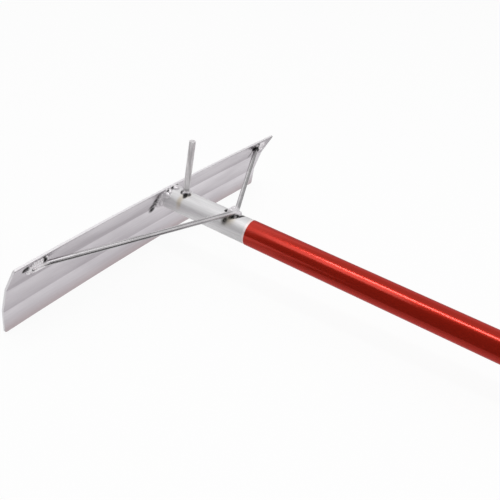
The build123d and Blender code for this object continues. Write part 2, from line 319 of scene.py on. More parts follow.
class PlacerFinish(bpy.types.PropertyGroup):
    """Colours of the finishes."""

    # painted shade: down each band the sheet blends from blade_colour towards blade_shade; patches and
    # rolling lines use these colours too
    blade_colour: colour("Blade", "Bright sheet", (0.74, 0.71, 0.74))
    blade_shade: colour("Blade shade", "Dull sheet", (0.48, 0.445, 0.475))
    edge_shade: colour("Edge shade", "Ruddy lower edge of the sheet", (0.50, 0.42, 0.43))
    filed_colour: colour("Filed edges", "Top edge and ends of the sheet", (0.84, 0.82, 0.84))
    tube_colour: colour("Tube", "Drawn tube", (0.77, 0.76, 0.77))
    tube_shade: colour("Tube shade", "Drawing lines of the tube", (0.66, 0.65, 0.66))
    # painted highlight: the pale line on the tube where the sleeve ends
    lip_highlight_colour: colour("Lip", "Pale line where the sleeve ends", (0.92, 0.80, 0.80))
    rod_colour: colour("Brace", "Drawn rod", (0.55, 0.53, 0.545))
    rod_shade: colour("Brace shade", "Handled patches of the rod", (0.46, 0.445, 0.455))
    hook_colour: colour("Hook", "Sawn bar", (0.79, 0.77, 0.78))
    hook_shade: colour("Hook shade", "Lines and patches of the bar", (0.44, 0.42, 0.43))
    # painted light and shade: one weld metal, darker on the tube's beads and lighter on the feet, to offset
    # the light
    weld_colour: colour("Welds", "Bead on the tube", (0.74, 0.71, 0.735))
    foot_colour: colour("Foot welds", "Bead and hammered metal at the brace's feet", (0.94, 0.91, 0.935))
    # this black also paints the shade in crevices by the welds
    soot_and_shade_colour: colour("Soot", "Black left by the torch", (0.012, 0.010, 0.010))
    tint_colour: colour("Heat tint", "Straw colour beside a bead", (0.56, 0.46, 0.30))
    sleeve_colour: colour("Sleeve", "Red vinyl", (0.52, 0.023, 0.010))
    sleeve_shade: colour("Sleeve shade", "Thicker waves of the vinyl", (0.44, 0.018, 0.007))
    sleeve_gloss: colour("Sleeve gloss", "Tint of the vinyl's gloss", (0.95, 0.30, 0.22))
    plug_colour: colour("Plug", "Black moulded plastic", (0.022, 0.022, 0.023))
    plug_shade: colour("Plug shade", "Worn patches of the plug", (0.05, 0.05, 0.052))
    floor_colour: colour("Floor", "Pale studio floor", (0.9, 0.9, 0.9))


class PlacerStage(bpy.types.PropertyGroup):
    """Floor, lights and camera."""

    floor_size: size("Floor size", "Side of the studio floor", 60)
    camera_place: place("Camera", "Where the camera stands", (0.54214, -0.304553, 0.443761))
    camera_aim: place("Aim", "Point in the middle of the picture", (-0.00005, -0.60698, 0.05016))
    camera_roll: angle("Roll", "Turn of the camera about its own line of sight", radians(6.5172))
    camera_lens: lens("Lens", "Focal length on a 36 mm sensor", 42.8324)
    key_power: power("Key", "Power of the overhead softbox", 10.5)
    strip_power: power("Strip", "Power of the strip light", 4.5)
    fill: share("Fill", "Light from the studio's walls", 0.57)
    floor_white: share("Floor white", "How far the floor shows plain white", 0.93)
    floor_gloss: share("Floor gloss", "How far the floor shows plain white in metal", 0.8)


def tool_frame(scene):
    """Place of the tool's own frame: Y down the handle from the blade's face, X along the blade."""
    down_handle = Vector(GRIP["axis"])
    half_grip = GRIP["dims"]["length_mm"] / 1000 / 2
    root = Vector(GRIP["pos_m"]) - down_handle * (scene.placer_tube.bare_length + half_grip)
    upward = ALONG_BLADE.cross(down_handle)
    turned = Matrix((ALONG_BLADE, down_handle, upward)).transposed()
    return Matrix.Translation(root) @ turned.to_4x4()


def band_up(lean):
    """Direction up a band of the blade, in the tool's frame."""
    return Vector((0, sin(lean), cos(lean)))


def band_out(lean):
    """Direction out of that band's face, towards the handle."""
    return Vector((0, cos(lean), -sin(lean)))


def bow_radius(blade):
    """Radius of the blade's bow."""
    return ((blade.length / 2) ** 2 + blade.bow**2) / (2 * blade.bow)


def top_edge(scene):
    """How far up the top band its edge lies from the handle's axis."""
    blade = scene.placer_blade
    tube_radius = scene.placer_tube.diameter / 2
    rise = tube_radius + blade.top_edge_proud + band_out(blade.top_angle).z * blade.thickness
    return rise / cos(blade.top_angle)


def on_top_band(scene, along, drop):
    """Frame on the face of the top band, with X along the blade, Y down the band and Z out of it."""
    blade = scene.placer_blade
    radius = bow_radius(blade)
    up, out = band_up(blade.top_angle), band_out(blade.top_angle)
    face = Matrix((ALONG_BLADE, -up, out)).transposed().to_4x4()
    face.translation = up * (top_edge(scene) - drop)
    swing = Matrix.Rotation(asin(along / radius), 4, "Z")
    return Matrix.Translation((0, radius, 0)) @ swing @ Matrix.Translation((0, -radius, 0)) @ face


def foot_seat(scene, side):
    """Frame under the bend of one brace foot, with X from its bend to its tip and Z out of the blade."""
    half_spread = scene.placer_blade.length / 2 - scene.placer_brace.inset
    seat = on_top_band(scene, side * half_spread, scene.placer_brace.foot_drop)
    return seat if side == LEFT else seat @ Matrix.Rotation(pi, 4, "Z")


def on_tube(scene, along, turn, lift=0):
    """Frame on the tube, with X round it, Y along it and Z out of it; turn is from its top to the left."""
    radius = scene.placer_tube.diameter / 2 + lift
    turned = Matrix.Rotation(turn, 4, "Y")
    return Matrix.Translation((0, along, 0)) @ turned @ Matrix.Translation((0, 0, radius))


def deselect():
    """Leave edit mode with nothing selected."""
    if bpy.context.mode != "OBJECT":
        bpy.ops.object.mode_set(mode="OBJECT")
    bpy.ops.object.select_all(action="DESELECT")


def only(piece):
    """Make one piece the only one that operators act on."""
    deselect()
    piece.select_set(True)
    bpy.context.view_layer.objects.active = piece


def edit_all(piece):
    """Open a piece in edit mode with all of it selected."""
    only(piece)
    bpy.ops.object.mode_set(mode="EDIT")
    bpy.ops.mesh.select_all(action="SELECT")


def new(add, **options):
    """Add an object by an operator, with nothing else selected."""
    deselect()
    add(**options)
    return bpy.context.object


def apply_place(piece):
    """Move a piece's place into its mesh."""
    only(piece)
    bpy.ops.object.transform_apply(location=True, rotation=True, scale=True)


def apply_modifier(piece, kind, **options):
    """Add one modifier, set it up and apply it."""
    only(piece)
    added = piece.modifiers.new(kind.lower(), kind)
    for option, value in options.items():
        setattr(added, option, value)
    bpy.ops.object.modifier_apply(modifier=added.name)


def select(piece, kind, wanted):
    """Select the edges or faces of a piece in edit mode that pass a test."""
    bpy.ops.mesh.select_mode(type=kind)
    bpy.ops.mesh.select_all(action="DESELECT")
    mesh = bmesh.from_edit_mesh(piece.data)
    for part in mesh.edges if kind == "EDGE" else mesh.faces:
        if wanted(part):
            part.select_set(True)
    bmesh.update_edit_mesh(piece.data)


def extrude(move):
    """Extrude what is selected by a straight move."""
    bpy.ops.mesh.extrude_region_move(TRANSFORM_OT_translate={"value": move})


def spin(turn, centre, axis, steps):
    """Spin what is selected about an axis, by the right-hand rule."""
    bpy.ops.mesh.spin(steps=steps, angle=-turn, center=centre, axis=axis)


def turn_face(turn, centre, axis):
    """Turn what is selected about an axis, by the right-hand rule."""
    bpy.ops.transform.rotate(
        value=turn,
        orient_axis="Z",
        orient_matrix=axis.to_track_quat("Z", "Y").to_matrix(),
        orient_matrix_type="GLOBAL",
        constraint_axis=(False, False, True),
        center_override=centre,
    )


def stretch_face(sizes, centre, seat):
    """Stretch what is selected along the axes of a seat."""
    bpy.ops.transform.resize(
        value=sizes,
        orient_type="GLOBAL",
        orient_matrix=seat.to_3x3(),
        orient_matrix_type="GLOBAL",
        center_override=centre,
    )


def subdivide(piece, wanted, cuts):
    """Divide the edges of a piece that pass a test."""
    edit_all(piece)
    select(piece, "EDGE", wanted)
    bpy.ops.mesh.subdivide(number_cuts=cuts)


def cut_off(piece, spot, outward):
    """Cut away what lies behind a plane and close the cut."""
    edit_all(piece)
    bpy.ops.mesh.bisect(plane_co=spot, plane_no=outward, use_fill=True, clear_inner=True)
    deselect()


def face_outwards(piece):
    """Point all faces of a closed piece outwards."""
    edit_all(piece)
    bpy.ops.mesh.normals_make_consistent(inside=False)
    deselect()


def make_uneven(piece, name, pitch, depth, **options):
    """Leave soft hollows in a piece."""
    clouds = bpy.data.textures.new(name, "CLOUDS")
    clouds.noise_scale = pitch
    clouds.noise_depth = 1
    options.update(texture=clouds, texture_coords="LOCAL", strength=depth, mid_level=0.5)
    apply_modifier(piece, "DISPLACE", **options)


def smooth_shade(piece, crease):
    """Shade a piece smooth up to a crease angle."""
    only(piece)
    bpy.ops.object.shade_smooth_by_angle(angle=crease)


def take_out(piece, cutter):
    """Cut a temporary shape out of a piece."""
    apply_modifier(piece, "BOOLEAN", operation="DIFFERENCE", solver="EXACT", object=cutter)
    bpy.data.objects.remove(cutter)


def block_behind(seat):
    """A temporary block that fills the space behind a seat."""
    block = new(bpy.ops.mesh.primitive_cube_add, size=CUTTER)
    block.matrix_world = seat @ Matrix.Translation((0, 0, -CUTTER / 2))
    return block


def tube_core(scene):
    """A temporary bar where the handle tube is."""
    return new(
        bpy.ops.mesh.primitive_cylinder_add,
        vertices=TUBE_SIDES,
        radius=scene.placer_tube.diameter / 2,
        depth=2 * CUTTER,
        rotation=(pi / 2, 0, 0),
    )


def bead_frame(spot, along, outward):
    """Frame of one drop of a bead, with X along the bead and Z outwards."""
    along = along.normalized()
    side = outward.cross(along).normalized()
    frame_of_drop = Matrix((along, side, along.cross(side))).transposed().to_4x4()
    frame_of_drop.translation = spot
    return frame_of_drop


def straight_run(scene, start, end, outward, half_sizes):
    """Drops in a straight row."""
    along = end - start
    count = round(along.length / scene.placer_welds.ripple)
    spots = [start + along * (number / count) for number in range(count + 1)]
    return [(bead_frame(spot, along, outward), half_sizes) for spot in spots]


def lay_bead(scene, drops):
    """Fuse a row of drops, each with its frame and half sizes, into one bead."""
    ball = bpy.ops.mesh.primitive_uv_sphere_add
    first = new(ball, segments=DROP_SEGMENTS, ring_count=DROP_RINGS, radius=1)
    row = [first]
    for _ in drops[1:]:
        only(first)
        bpy.ops.object.duplicate(linked=False)
        row.append(bpy.context.object)
    deselect()
    for number, (drop, (spot, (long, wide, high))) in enumerate(zip(row, drops)):
        swell = 1 + DROP_SWELL * sin(DROP_BEAT * number)
        drop.matrix_world = spot @ Matrix.Diagonal((long, swell * wide, swell * high, 1))
        drop.select_set(True)
    bpy.context.view_layer.objects.active = first
    bpy.ops.object.transform_apply(location=True, rotation=True, scale=True)
    bpy.ops.object.join()
    bead = bpy.context.object
    apply_modifier(bead, "REMESH", mode="VOXEL", voxel_size=scene.placer_welds.skin)
    apply_modifier(bead, "SMOOTH", factor=0.5, iterations=3)
    return bead


def copy_piece(piece, spot):
    """Copy a piece with its own mesh to another place."""
    only(piece)
    bpy.ops.object.duplicate(linked=False)
    copy = bpy.context.object
    copy.matrix_world = spot
    apply_place(copy)
    return copy


def hand_in(scene, piece, node, finish):
    """Put a finished piece in the row frame, in place of its CAD node."""
    deselect()
    piece.matrix_world = tool_frame(scene) @ piece.matrix_world
    apply_place(piece)
    piece.name = piece.data.name = f"{node}_dressed"
    piece.data.materials.clear()
    piece.data.materials.append(finish)
    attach(piece, BODY)
    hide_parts(node)
    deselect()


def weld_on_tube(scene, node, drops, face=None):
    """Lay a bead on the tube, cut it to the face it meets and to the tube, and hand it in."""
    bead = lay_bead(scene, drops)
    if face is not None:
        take_out(bead, block_behind(face))
    take_out(bead, tube_core(scene))
    smooth_shade(bead, BEAD_CREASE)
    # painted shade: the darker copy of the weld metal
    finish = weld_finish(scene, "tube_bead_alloy", scene.placer_finish.weld_colour)
    hand_in(scene, bead, node, finish)


class Nodes:
    """A node tree in the making, with short calls that add and link its nodes."""

    def __init__(self, tree):
        self.tree = tree
        tree.nodes.clear()

    def add(self, kind, inputs=None, **options):
        """Add a node, set its options, and set or link its inputs."""
        node = self.tree.nodes.new(kind)
        for option, value in options.items():
            setattr(node, option, value)
        for socket, value in (inputs or {}).items():
            if isinstance(value, bpy.types.NodeSocket):
                self.tree.links.new(value, node.inputs[socket])
            else:
                node.inputs[socket].default_value = value
        return node

    def math(self, operation, first, *others):
        """Join numbers, one after the other, by one kind of sum."""
        for other in others or (0.0,):
            first = self.add("ShaderNodeMath", {0: first, 1: other}, operation=operation).outputs[0]
        return first


class Finish(Nodes):
    """A material in the making."""

    def __init__(self, name):
        self.material = bpy.data.materials.get(name) or bpy.data.materials.new(name)
        self.material.use_nodes = True
        super().__init__(self.material.node_tree)
        coordinates = self.add("ShaderNodeTexCoord")
        self.place = coordinates.outputs["Object"]
        self.facing = coordinates.outputs["Normal"]

    def vector(self, operation, inputs, output="Vector"):
        """Join vectors by one sum."""
        return self.add("ShaderNodeVectorMath", inputs, operation=operation).outputs[output]

    def coordinate(self, axis):
        """One of the object coordinates."""
        return self.add("ShaderNodeSeparateXYZ", {0: self.place}).outputs[axis]

    def stretched(self, scale, turn=0):
        """Object coordinates turned about X and scaled."""
        inputs = {"Vector": self.place, "Rotation": (turn, 0, 0), "Scale": scale}
        return self.add("ShaderNodeMapping", inputs).outputs[0]

    def noise(self, vector, scale=1.0, detail=3.0):
        """Soft noise from 0 to 1."""
        inputs = {"Vector": vector, "Scale": scale, "Detail": detail, "Roughness": 0.55}
        return self.add("ShaderNodeTexNoise", inputs).outputs["Fac"]

    def remap(self, value, start, end, low=0.0, high=1.0):
        """Ease a number from one span to another."""
        inputs = {"Value": value, "From Min": start, "From Max": end, "To Min": low, "To Max": high}
        return self.add("ShaderNodeMapRange", inputs, interpolation_type="SMOOTHSTEP").outputs[0]

    def spread(self, noise, low, high):
        """Ease most of a noise from low to high."""
        return self.remap(noise, *NOISE_SPAN, low, high)

    def blend(self, amount, first, second):
        """Go from one colour to another."""
        mix = self.add("ShaderNodeMix", {0: amount, 6: first, 7: second}, data_type="RGBA")
        return mix.outputs[2]

    def ramp(self, value, stops):
        """Amounts at given values, straight between them."""
        low, high = min(stops)[0], max(stops)[0]
        inputs = {"Value": value, "From Min": low, "From Max": high}
        share_of = self.add("ShaderNodeMapRange", inputs).outputs[0]
        node = self.add("ShaderNodeValToRGB", {0: share_of})
        elements = node.color_ramp.elements
        elements.remove(elements[1])
        for number, (stop, amount) in enumerate(sorted(stops)):
            at = (stop - low) / (high - low)
            element = elements[0] if number == 0 else elements.new(at)
            element.position = at
            element.color = (amount, amount, amount, 1)
        return node.outputs["Color"]

    def ragged(self, reach, scale):
        """Object coordinates pushed about, so that marks get uneven edges."""
        inputs = {"Vector": self.place, "Scale": scale, "Detail": 3.0}
        push = self.add("ShaderNodeTexNoise", inputs).outputs["Color"]
        push = self.vector("SUBTRACT", {0: push, 1: (0.5, 0.5, 0.5)})
        push = self.vector("SCALE", {0: push, 3: reach})
        return self.vector("ADD", {0: self.place, 1: push})

    def spot(self, vector, frame_of_mark, half_sizes, core):
        """1 in the core of a mark and 0 outside its half sizes, in the mark's own frame."""
        inputs = {
            "Vector": vector,
            "Location": frame_of_mark.to_translation(),
            "Rotation": frame_of_mark.to_euler(),
            "Scale": half_sizes,
        }
        inside = self.add("ShaderNodeMapping", inputs, vector_type="TEXTURE").outputs[0]
        return self.remap(self.vector("LENGTH", {0: inside}, "Value"), 1.0, core)

    def bump(self, height, depth):
        """Surface detail of the given depth in metres."""
        inputs = {"Height": height, "Distance": depth, "Strength": 1.0}
        return self.add("ShaderNodeBump", inputs).outputs[0]

    def glow(self, strength):
        """A surface that shows an even shade."""
        return self.add("ShaderNodeEmission", {"Color": WHITE, "Strength": strength})

    def surface(self, shader):
        """Finish with a surface."""
        self.add("ShaderNodeOutputMaterial", {"Surface": shader.outputs[0]})
        return self.material

    def shade(self, **sockets):
        """Finish with one principled surface."""
        inputs = {name.replace("_", " "): value for name, value in sockets.items()}
        return self.surface(self.add("ShaderNodeBsdfPrincipled", inputs))


def soot_and_shade_marks(scene):
    """Each sooty mark and each mark of painted shade: its frame in the tool, half sizes, core and darkness.
    """
    for along, drop, *mark in BLADE_SOOT_AND_SHADE:
        yield on_top_band(scene, along, drop), *mark
    for along, turn, slant, lift, *mark in TUBE_SOOT_AND_SHADE:
        aslant = Matrix.Rotation(radians(slant), 4, "Z")
        yield on_tube(scene, along, radians(turn), lift) @ aslant, *mark


def soot_and_shade_on(finish, scene):
    """Sooty torch marks and painted crevice shade, with ragged, smoky edges."""
    tool = tool_frame(scene)
    edge = finish.ragged(*SOOT_AND_SHADE_EDGE)
    spots = []
    for where, half_sizes, core, darkness in soot_and_shade_marks(scene):
        spot = finish.spot(edge, tool @ where, half_sizes, core)
        spots.append(finish.math("MULTIPLY", spot, darkness))
    smoke = finish.remap(finish.noise(finish.place, MOTTLE_NOISE), *MOTTLE_SPAN, LEAST_MOTTLE, 1.0)
    return finish.math("MULTIPLY", finish.math("MAXIMUM", *spots), smoke)


def sooted_and_shaded(finish, scene, soot_and_shade, fresh, rough, metallic, grain):
    """Finish with metal under the sooty marks and the painted shade."""
    clean = finish.remap(soot_and_shade, 0.0, 1.0, 1.0, SOOT_AND_SHADE_METAL)
    return finish.shade(
        Base_Color=finish.blend(soot_and_shade, fresh, scene.placer_finish.soot_and_shade_colour),
        Metallic=finish.math("MULTIPLY", clean, metallic),
        Roughness=finish.math("MAXIMUM", rough, finish.math("MULTIPLY", soot_and_shade, SOOT_AND_SHADE_ROUGHNESS)),
        Normal=grain,
    )


def section_heights(scene):
    """Heights above the floor of the blade's top edge, its two bends and its bottom edge, on the face."""
    blade = scene.placer_blade
    leans = [blade.top_angle, blade.top_angle - blade.upper_bend]
    leans.append(leans[1] - blade.lower_bend)
    spots = [band_up(leans[0]) * top_edge(scene)]
    for lean, band in zip(leans, (blade.top_band, blade.middle_band, blade.bottom_band)):
        spots.append(spots[-1] - band_up(lean) * band)
    tool = tool_frame(scene)
    return [(tool @ spot).z for spot in spots]


def blade_finish(scene):
    """Mill-finished sheet: painted shade darkening each band towards its lower bend, rolling lines, sooty
    marks and painted shadow round the welds.
    """
    colours, blade = scene.placer_finish, scene.placer_blade
    finish = Finish("satin_blade_alloy")
    outward = tool_frame(scene).to_3x3() @ band_out(blade.top_angle - blade.upper_bend)
    squareness = finish.vector("DOT_PRODUCT", {0: finish.facing, 1: outward.to_tuple()}, "Value")
    # sooty marks and painted shade, kept off the back of the sheet
    soot_and_shade = finish.math("MULTIPLY", soot_and_shade_on(finish, scene), finish.remap(squareness, *SOOT_AND_SHADE_TURN))
    height = finish.coordinate("Z")
    edge, upper_bend, _, bottom = heights = section_heights(scene)
    stops = []
    # painted shade down each band, darker towards its lower bend
    for high, low, band_shade in zip(heights, heights[1:], BAND_PAINTED_SHADE):
        stops += [(high + (low - high) * part, amount) for part, amount in band_shade]
    lines = finish.noise(finish.stretched(ROLLING_LINES), detail=4.0)
    patches = finish.noise(finish.stretched(SHEET_PATCHES), detail=2.0)
    # darker towards the blade's left end, and lighter there at its top edge
    left_end = finish.remap(finish.coordinate("X"), *LEFT_SPAN, 0.0, LEFT_DARKENING)
    tone = finish.math(
        "ADD",
        finish.ramp(height, stops),
        finish.spread(patches, -PATCH_WEAR, PATCH_WEAR),
        finish.spread(lines, -LINE_WEAR, LINE_WEAR),
        finish.math("MULTIPLY", left_end, finish.remap(height, edge, upper_bend, LEFT_TOP_SHARE, 1.0)),
    )
    sheet = finish.blend(tone, colours.blade_colour, colours.blade_shade)
    rusty = finish.remap(height, bottom + RUST_HEIGHT, bottom, 0.0, RUST_SHARE)
    sheet = finish.blend(rusty, sheet, colours.edge_shade)
    filed = finish.remap(finish.math("ABSOLUTE", squareness), *FILED_TURN)
    sheet = finish.blend(filed, sheet, colours.filed_colour)
    fine = finish.spread(lines, -LINE_ROUGHNESS, LINE_ROUGHNESS)
    rough = finish.math("ADD", finish.spread(patches, *SHEET_ROUGHNESS), fine)
    rough = finish.math("MAXIMUM", rough, finish.math("MULTIPLY", filed, FILED_ROUGHNESS))
    metallic = finish.remap(filed, 0.0, 1.0, 1.0, FILED_METAL)
    return sooted_and_shaded(finish, scene, soot_and_shade, sheet, rough, metallic, finish.bump(lines, LINE_DEPTH))


def tube_finish(scene):
    """Dull drawn tube with straw tint, sooty marks and painted crevice shade beside the beads, and a
    painted highlight, a pale line, at the sleeve.
    """
    colours = scene.placer_finish
    finish = Finish("drawn_tube_alloy")
    tool = tool_frame(scene)
    edge = finish.ragged(*TINT_EDGE)
    tints = []
    for along, turn, half_sizes in TUBE_TINTS:
        where = tool @ on_tube(scene, along, radians(turn))
        tints.append(finish.spot(edge, where, half_sizes, TINT_CORE))
    tint = finish.math("MULTIPLY", finish.math("MAXIMUM", *tints), TINT_STRENGTH)
    lines = finish.noise(finish.stretched(DRAWING_LINES, tool.to_euler().x), detail=4.0)
    drawn = finish.blend(finish.spread(lines, 0.0, DRAWING_SHADE), colours.tube_colour, colours.tube_shade)
    drawn = finish.blend(tint, drawn, colours.tint_colour)
    sleeve_start = (tool @ Vector((0, scene.placer_tube.bare_length, 0))).y
    # painted highlight: a pale line on the tube just before the sleeve
    lip_highlight = finish.remap(finish.coordinate("Y"), sleeve_start - LIP_HIGHLIGHT_START, sleeve_start - LIP_HIGHLIGHT_FULL)
    drawn = finish.blend(lip_highlight, drawn, colours.lip_highlight_colour)
    rough = finish.spread(lines, *TUBE_ROUGHNESS)
    soot_and_shade = soot_and_shade_on(finish, scene)
    return sooted_and_shaded(finish, scene, soot_and_shade, drawn, rough, TUBE_METAL, finish.bump(lines, LINE_DEPTH))


def rod_finish(scene):
    """Grey drawn rod, hammered bright at its feet in the lighter painted copy of the weld metal, and
    darkened by sooty marks and painted shade where it is welded.
    """
    colours, brace = scene.placer_finish, scene.placer_brace
    finish = Finish("drawn_rod_alloy")
    tool = tool_frame(scene)
    grain = finish.noise(finish.place, ROD_GRAIN)
    cloud = finish.noise(finish.place, ROD_CLOUD, detail=2.0)
    tone = finish.blend(finish.remap(cloud, *CLOUD_SPAN), colours.rod_colour, colours.rod_shade)
    edge = finish.ragged(*PATCH_EDGE)
    spots = []
    for side in (LEFT, RIGHT):
        middle = foot_seat(scene, side) @ Matrix.Translation((FOOT_PATCH_MIDDLE, 0, 0))
        spots.append(finish.spot(edge, tool @ middle, *FOOT_PATCH))
    point = on_tube(scene, brace.reach, 0, brace.diameter / 2)
    spots.append(finish.spot(edge, tool @ point, *POINT_PATCH))
    beaten = finish.math("MAXIMUM", *spots)
    tone = finish.blend(beaten, tone, colours.foot_colour)
    hammered = finish.math("MULTIPLY", beaten, BEATEN_ROUGHNESS)
    rough = finish.math("ADD", finish.spread(cloud, *ROD_ROUGHNESS), hammered)
    metallic = finish.remap(beaten, 0.0, 1.0, 1.0, BEATEN_METAL)
    soot_and_shade = soot_and_shade_on(finish, scene)
    return sooted_and_shaded(finish, scene, soot_and_shade, tone, rough, metallic, finish.bump(grain, ROD_DEPTH))


def hook_finish(scene):
    """Sawn bar, paler and duller than the brace."""
    colours = scene.placer_finish
    finish = Finish("sawn_bar_alloy")
    lines = finish.noise(finish.stretched(SAWING_LINES, tool_frame(scene).to_euler().x))
    cloud = finish.noise(finish.place, HOOK_CLOUD, detail=2.0)
    handled = finish.remap(cloud, *CLOUD_SPAN, 0.0, HOOK_CLOUD_SHADE)
    tone = finish.blend(handled, colours.hook_colour, colours.hook_shade)
    tone = finish.blend(finish.remap(lines, *SAW_SPAN, 0.0, SAWING_SHADE), tone, colours.hook_shade)
    rough = finish.spread(lines, *HOOK_ROUGHNESS)
    soot_and_shade = soot_and_shade_on(finish, scene)
    return sooted_and_shaded(finish, scene, soot_and_shade, tone, rough, HOOK_METAL, finish.bump(lines, LINE_DEPTH))


def weld_finish(scene, name, fresh):
    """Bright bead with smoke in its hollows."""
    finish = Finish(name)
    hollow = finish.add("ShaderNodeNewGeometry").outputs["Pointiness"]
    smoke = finish.math("MULTIPLY", finish.remap(hollow, *HOLLOW_SPAN), HOLLOW_SMOKE)
    soot_and_shade = finish.math("MAXIMUM", smoke, soot_and_shade_on(finish, scene))
    grain = finish.noise(finish.place, BEAD_GRAIN)
    rough = finish.spread(grain, *BEAD_ROUGHNESS)
    return sooted_and_shaded(finish, scene, soot_and_shade, fresh, rough, BEAD_METAL, finish.bump(grain, BEAD_DEPTH))


def sleeve_finish(scene):
    """Thin glossy red vinyl with the bright tube showing through."""
    colours = scene.placer_finish
    finish = Finish("red_vinyl")
    waves = finish.noise(finish.stretched(SLEEVE_WAVES), detail=2.0)
    thick = finish.spread(waves, 0.0, SLEEVE_WAVE_SHADE)
    return finish.shade(
        Base_Color=finish.blend(thick, colours.sleeve_colour, colours.sleeve_shade),
        Metallic=0.6,
        Roughness=finish.spread(waves, *SLEEVE_ROUGHNESS),
        Specular_IOR_Level=0.1,
        Specular_Tint=colours.sleeve_gloss,
        Coat_Weight=0.26,
        Coat_IOR=1.8,
        Coat_Roughness=0.15,
        Normal=finish.bump(waves, SLEEVE_DEPTH),
    )


def plug_finish(scene):
    """Moulded plastic with a fine spark grain."""
    colours = scene.placer_finish
    finish = Finish("black_moulded_plastic")
    grain = finish.noise(finish.place, PLUG_GRAIN, detail=4.0)
    cloud = finish.noise(finish.place, PLUG_CLOUD, detail=2.0)
    tone = finish.spread(cloud, 0.0, PLUG_CLOUD_SHADE)
    return finish.shade(
        Base_Color=finish.blend(tone, colours.plug_colour, colours.plug_shade),
        Roughness=finish.spread(grain, *PLUG_ROUGHNESS),
        Normal=finish.bump(grain, PLUG_DEPTH),
    )


def floor_finish(scene):
    """Pale floor that shows near white, in metal too, and keeps the soft shadow."""
    stage = scene.placer_stage
    finish = Finish("studio_floor")
    bare = finish.add("ShaderNodeBsdfDiffuse", {"Color": scene.placer_finish.floor_colour})
    ray = finish.add("ShaderNodeLightPath")
    shares = (stage.floor_white, stage.floor_gloss, stage.floor_white)
    seen = [finish.math("MULTIPLY", ray.outputs[kind], part) for kind, part in zip(SEEN_RAYS, shares)]
    inputs = {0: finish.math("MAXIMUM", *seen), 1: bare.outputs[0], 2: finish.glow(1.0).outputs[0]}
    return finish.surface(finish.add("ShaderNodeMixShader", inputs))


class PLACER_OT_blade(bpy.types.Operator):
    """Press the blade from one sheet: three bands, two bends and the bow"""

    bl_idname = "placer.blade"
    bl_label = "Blade"

    columns = 59  # the sheet is pressed one column too long, and trimmed after the bow
    band_cuts = 4
    bend_steps = 6
    corner_steps = 6
    edge_steps = 4
    edge_angle = radians(50)  # edges sharper than this are rounded
    slack = 0.0001  # how near to the blade's end a point counts as on it

    def press(self, scene):
        """Draw the sheet down from its top edge, band by band."""
        blade = scene.placer_blade
        lean = blade.top_angle
        spot = band_up(lean) * top_edge(scene) - band_out(lean) * (blade.thickness / 2)
        sheet = new(bpy.ops.mesh.primitive_plane_add, size=1, location=spot, rotation=(-lean, 0, 0))
        sheet.scale = (blade.length + blade.length / self.columns, blade.thickness, 1)
        apply_place(sheet)
        edit_all(sheet)
        bands = (blade.top_band, blade.middle_band, blade.bottom_band)
        bends = (blade.upper_bend, blade.lower_bend, 0)
        used = 0
        for band, bend in zip(bands, bends):
            setback = (blade.bend_radius + blade.thickness) * tan(bend / 2)
            down = -band_up(lean) * (band - used - setback)
            extrude(down)
            spot += down
            used = setback
            if bend:
                centre = spot + band_out(lean) * (blade.thickness / 2 + blade.bend_radius)
                spin(bend, centre, ALONG_BLADE, self.bend_steps)
                spot = centre + Matrix.Rotation(bend, 3, "X") @ (spot - centre)
                lean -= bend
        face_outwards(sheet)
        return sheet

    def bow(self, blade, sheet):
        """Bow the sheet, and leave it as uneven as pressing does."""
        # Edges longer than these run along the blade or down a band
        along_blade, down_band = 0.9 * blade.length, 0.6 * blade.bottom_band
        subdivide(sheet, lambda edge: edge.calc_length() > along_blade, self.columns)
        subdivide(sheet, lambda edge: down_band < edge.calc_length() < along_blade, self.band_cuts)
        deselect()
        make_uneven(sheet, "pressing", blade.wave_size, blade.wave, direction="Y")
        turn = blade.length * (1 + 1 / self.columns) / bow_radius(blade)
        apply_modifier(sheet, "SIMPLE_DEFORM", deform_method="BEND", deform_axis="Z", angle=turn)
        end = ALONG_BLADE * (blade.length / 2)
        cut_off(sheet, -end, ALONG_BLADE)
        cut_off(sheet, end, -ALONG_BLADE)

    def corners(self, blade, sheet):
        """Round the four corners, then all the edges."""
        end = blade.length / 2 - self.slack
        heights = [vertex.co.z for vertex in sheet.data.vertices]
        low, high = min(heights), max(heights)

        def at_corner(edge):
            """Whether an edge runs through the sheet at one of its corners."""
            ends = [vertex.co for vertex in edge.verts]
            middle = (ends[0].z + ends[1].z) / 2
            return (
                all(abs(point.x) >= end for point in ends)
                and 0.9 * blade.thickness <= edge.calc_length() < 1.1 * blade.thickness
                and min(middle - low, high - middle) < blade.thickness
            )

        edit_all(sheet)
        select(sheet, "EDGE", at_corner)
        bpy.ops.mesh.bevel(offset=blade.corner_radius, segments=self.corner_steps, affect="EDGES")
        deselect()
        apply_modifier(
            sheet,
            "BEVEL",
            width=blade.edge_round,
            segments=self.edge_steps,
            limit_method="ANGLE",
            angle_limit=self.edge_angle,
        )
        face_outwards(sheet)

    def execute(self, context):
        scene = context.scene
        blade = scene.placer_blade
        sheet = self.press(scene)
        self.bow(blade, sheet)
        self.corners(blade, sheet)
        smooth_shade(sheet, BLADE_CREASE)
        apply_modifier(sheet, "WEIGHTED_NORMAL", keep_sharp=True)
        hand_in(scene, sheet, "blade", blade_finish(scene))
        return {"FINISHED"}


